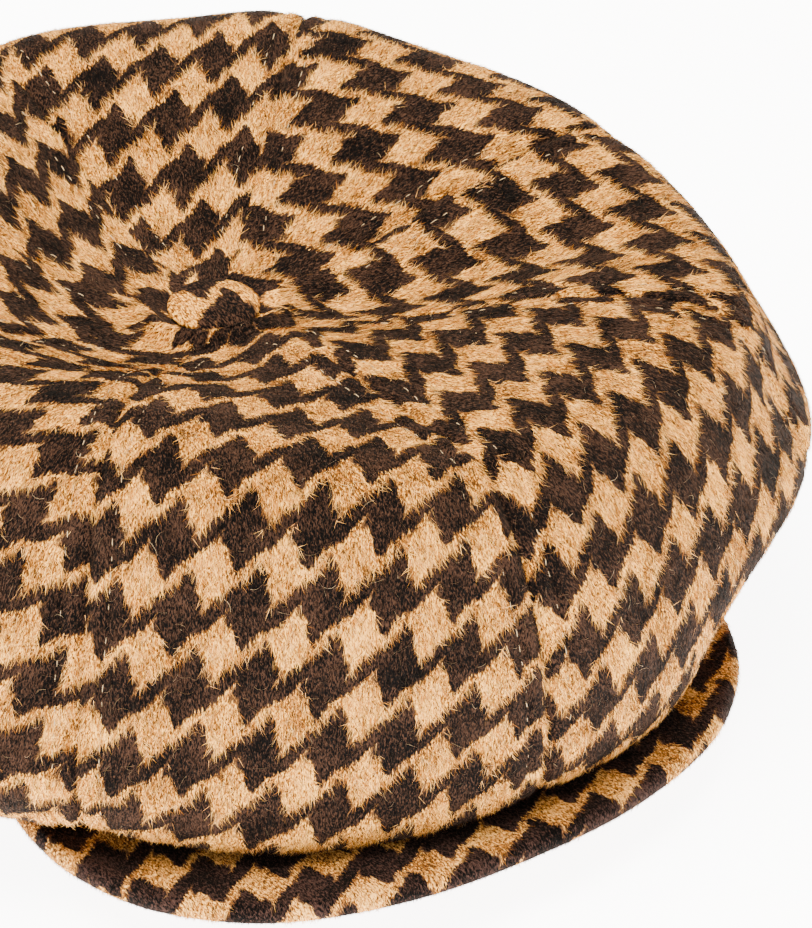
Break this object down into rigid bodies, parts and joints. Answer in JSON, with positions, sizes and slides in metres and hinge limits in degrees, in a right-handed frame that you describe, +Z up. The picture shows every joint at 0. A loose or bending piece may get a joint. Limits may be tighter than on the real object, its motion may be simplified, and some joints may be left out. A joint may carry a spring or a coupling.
{
  "type": "flat cap",
  "caption": "Full, soft panelled cloth cap with a dished crown gathered under a covered button, a short curved peak and an open headband.",
  "frame": {"origin": "on the floor under the middle of the whole cap", "axes": "-Y out of the front, where the peak is; +X to the left of the person who wears it; +Z up"},
  "size_m": [0.2642, 0.276, 0.0979],
  "materials": {
    "camel_houndstooth_wool": "brushed wool in a camel and dark brown houndstooth",
    "brown_wool": "the same brushed wool where its dark brown rules"
  },
  "bodies": {
    "root": {"crown_panel_1": "camel_houndstooth_wool", "crown_panel_2": "camel_houndstooth_wool", "crown_panel_3": "camel_houndstooth_wool", "crown_panel_4": "camel_houndstooth_wool", "crown_panel_5": "camel_houndstooth_wool", "crown_panel_6": "camel_houndstooth_wool", "crown_panel_7": "camel_houndstooth_wool", "crown_panel_8": "camel_houndstooth_wool", "headband": "camel_houndstooth_wool", "peak": "camel_houndstooth_wool", "button": "brown_wool"}
  },
  "joints": []
}
